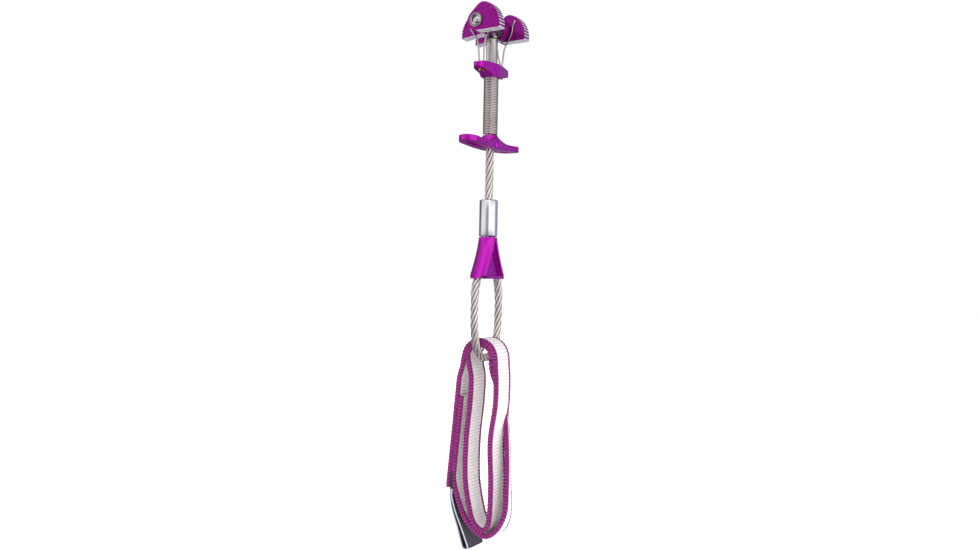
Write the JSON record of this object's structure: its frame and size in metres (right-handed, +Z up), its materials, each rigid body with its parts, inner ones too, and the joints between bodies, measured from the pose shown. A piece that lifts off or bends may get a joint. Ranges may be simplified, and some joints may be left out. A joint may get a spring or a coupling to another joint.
{
  "type": "spring loaded camming device",
  "caption": "Climbing anchor with toothed camming lobes on an axle, a cable stem, a sliding two-finger trigger, a cable thumb loop and a doubled webbing sling.",
  "frame": {"origin": "middle of the axle, on its axis", "axes": "+Z up along the stem towards the lobes; X along the axle and the trigger bar; the outer lobes open towards -Y and the inner lobes towards +Y"},
  "size_m": [0.0414, 0.0305, 0.2287],
  "materials": {
    "purple_anodised": "anodised purple, satin",
    "steel": "bright machined steel",
    "dark_steel": "steel wire rope and close-wound coil",
    "aluminium": "bright swaged aluminium",
    "brass": "plain brass",
    "purple_webbing": "woven tape with a pale ribbed middle and purple edges",
    "black_label": "plain woven label tape"
  },
  "bodies": {
    "stem": {"stem_terminal": "steel", "axle": "steel", "axle_washer_left": "steel", "axle_washer_right": "steel", "spacer_washer_left": "steel", "spacer_washer_right": "steel", "cam_spring_left": "steel", "cam_spring_right": "steel", "stem_cable": "dark_steel", "loop_ferrule": "aluminium", "loop_spreader": "purple_anodised"},
    "trigger": {"trigger_bar": "purple_anodised", "trigger_sheath": "dark_steel", "wire_collar": "purple_anodised"},
    "sling": {"sling_webbing": "purple_webbing", "sling_label": "black_label"},
    "lobe_outer_left": {"cam_lobe_outer_left": "purple_anodised"},
    "wire_outer_left": {"trigger_wire_outer_left": "steel", "wire_nipple_outer_left": "brass"},
    "lobe_inner_left": {"cam_lobe_inner_left": "purple_anodised"},
    "wire_inner_left": {"trigger_wire_inner_left": "steel", "wire_nipple_inner_left": "brass"},
    "lobe_inner_right": {"cam_lobe_inner_right": "purple_anodised"},
    "wire_inner_right": {"trigger_wire_inner_right": "steel", "wire_nipple_inner_right": "brass"},
    "lobe_outer_right": {"cam_lobe_outer_right": "purple_anodised"},
    "wire_outer_right": {"trigger_wire_outer_right": "steel", "wire_nipple_outer_right": "brass"}
  },
  "joints": [
    {"name": "trigger_slide", "type": "slide", "parent": "stem", "child": "trigger", "axis": [0, 0, -1], "range_m": [0, 0.008], "stiffness_N_per_m": 800, "springref_m": -0.004},
    {"name": "sling_swing", "type": "hinge", "parent": "stem", "child": "sling", "pos_m": [0, 0, -0.1403], "axis": [1, 0, 0], "range_deg": [-75, 75]},
    {"name": "lobe_outer_left_turn", "type": "hinge", "parent": "stem", "child": "lobe_outer_left", "pos_m": [0, 0, 0], "axis": [1, 0, 0], "range_deg": [-2, 66], "deforming": ["cam_spring_left"]},
    {"name": "wire_outer_left_pivot", "type": "hinge", "parent": "lobe_outer_left", "child": "wire_outer_left", "pos_m": [-0.0081, -0.00631, 0.00458], "axis": [1, 0, 0], "range_deg": [-64, 3]},
    {"name": "lobe_inner_left_turn", "type": "hinge", "parent": "stem", "child": "lobe_inner_left", "pos_m": [0, 0, 0], "axis": [1, 0, 0], "range_deg": [-76, 2]},
    {"name": "wire_inner_left_pivot", "type": "hinge", "parent": "lobe_inner_left", "child": "wire_inner_left", "pos_m": [-0.0081, 0.00598, 0.00279], "axis": [1, 0, 0], "range_deg": [-3, 79]},
    {"name": "lobe_inner_right_turn", "type": "hinge", "parent": "stem", "child": "lobe_inner_right", "pos_m": [0, 0, 0], "axis": [1, 0, 0], "range_deg": [-76, 2]},
    {"name": "wire_inner_right_pivot", "type": "hinge", "parent": "lobe_inner_right", "child": "wire_inner_right", "pos_m": [0.0081, 0.00598, 0.00279], "axis": [1, 0, 0], "range_deg": [-3, 79]},
    {"name": "lobe_outer_right_turn", "type": "hinge", "parent": "stem", "child": "lobe_outer_right", "pos_m": [0, 0, 0], "axis": [1, 0, 0], "range_deg": [-2, 66], "deforming": ["cam_spring_right"]},
    {"name": "wire_outer_right_pivot", "type": "hinge", "parent": "lobe_outer_right", "child": "wire_outer_right", "pos_m": [0.0081, -0.00631, 0.00458], "axis": [1, 0, 0], "range_deg": [-64, 3]}
  ],
  "couplings": [
    {"joint": "lobe_outer_left_turn", "follows": "trigger_slide", "rad_per_m": 139.63},
    {"joint": "wire_outer_left_pivot", "follows": "trigger_slide", "rad_per_m": -132.86},
    {"joint": "lobe_inner_left_turn", "follows": "trigger_slide", "rad_per_m": -161.44},
    {"joint": "wire_inner_left_pivot", "follows": "trigger_slide", "rad_per_m": 165.63},
    {"joint": "lobe_inner_right_turn", "follows": "trigger_slide", "rad_per_m": -161.44},
    {"joint": "wire_inner_right_pivot", "follows": "trigger_slide", "rad_per_m": 165.63},
    {"joint": "lobe_outer_right_turn", "follows": "trigger_slide", "rad_per_m": 139.63},
    {"joint": "wire_outer_right_pivot", "follows": "trigger_slide", "rad_per_m": -132.86}
  ]
}
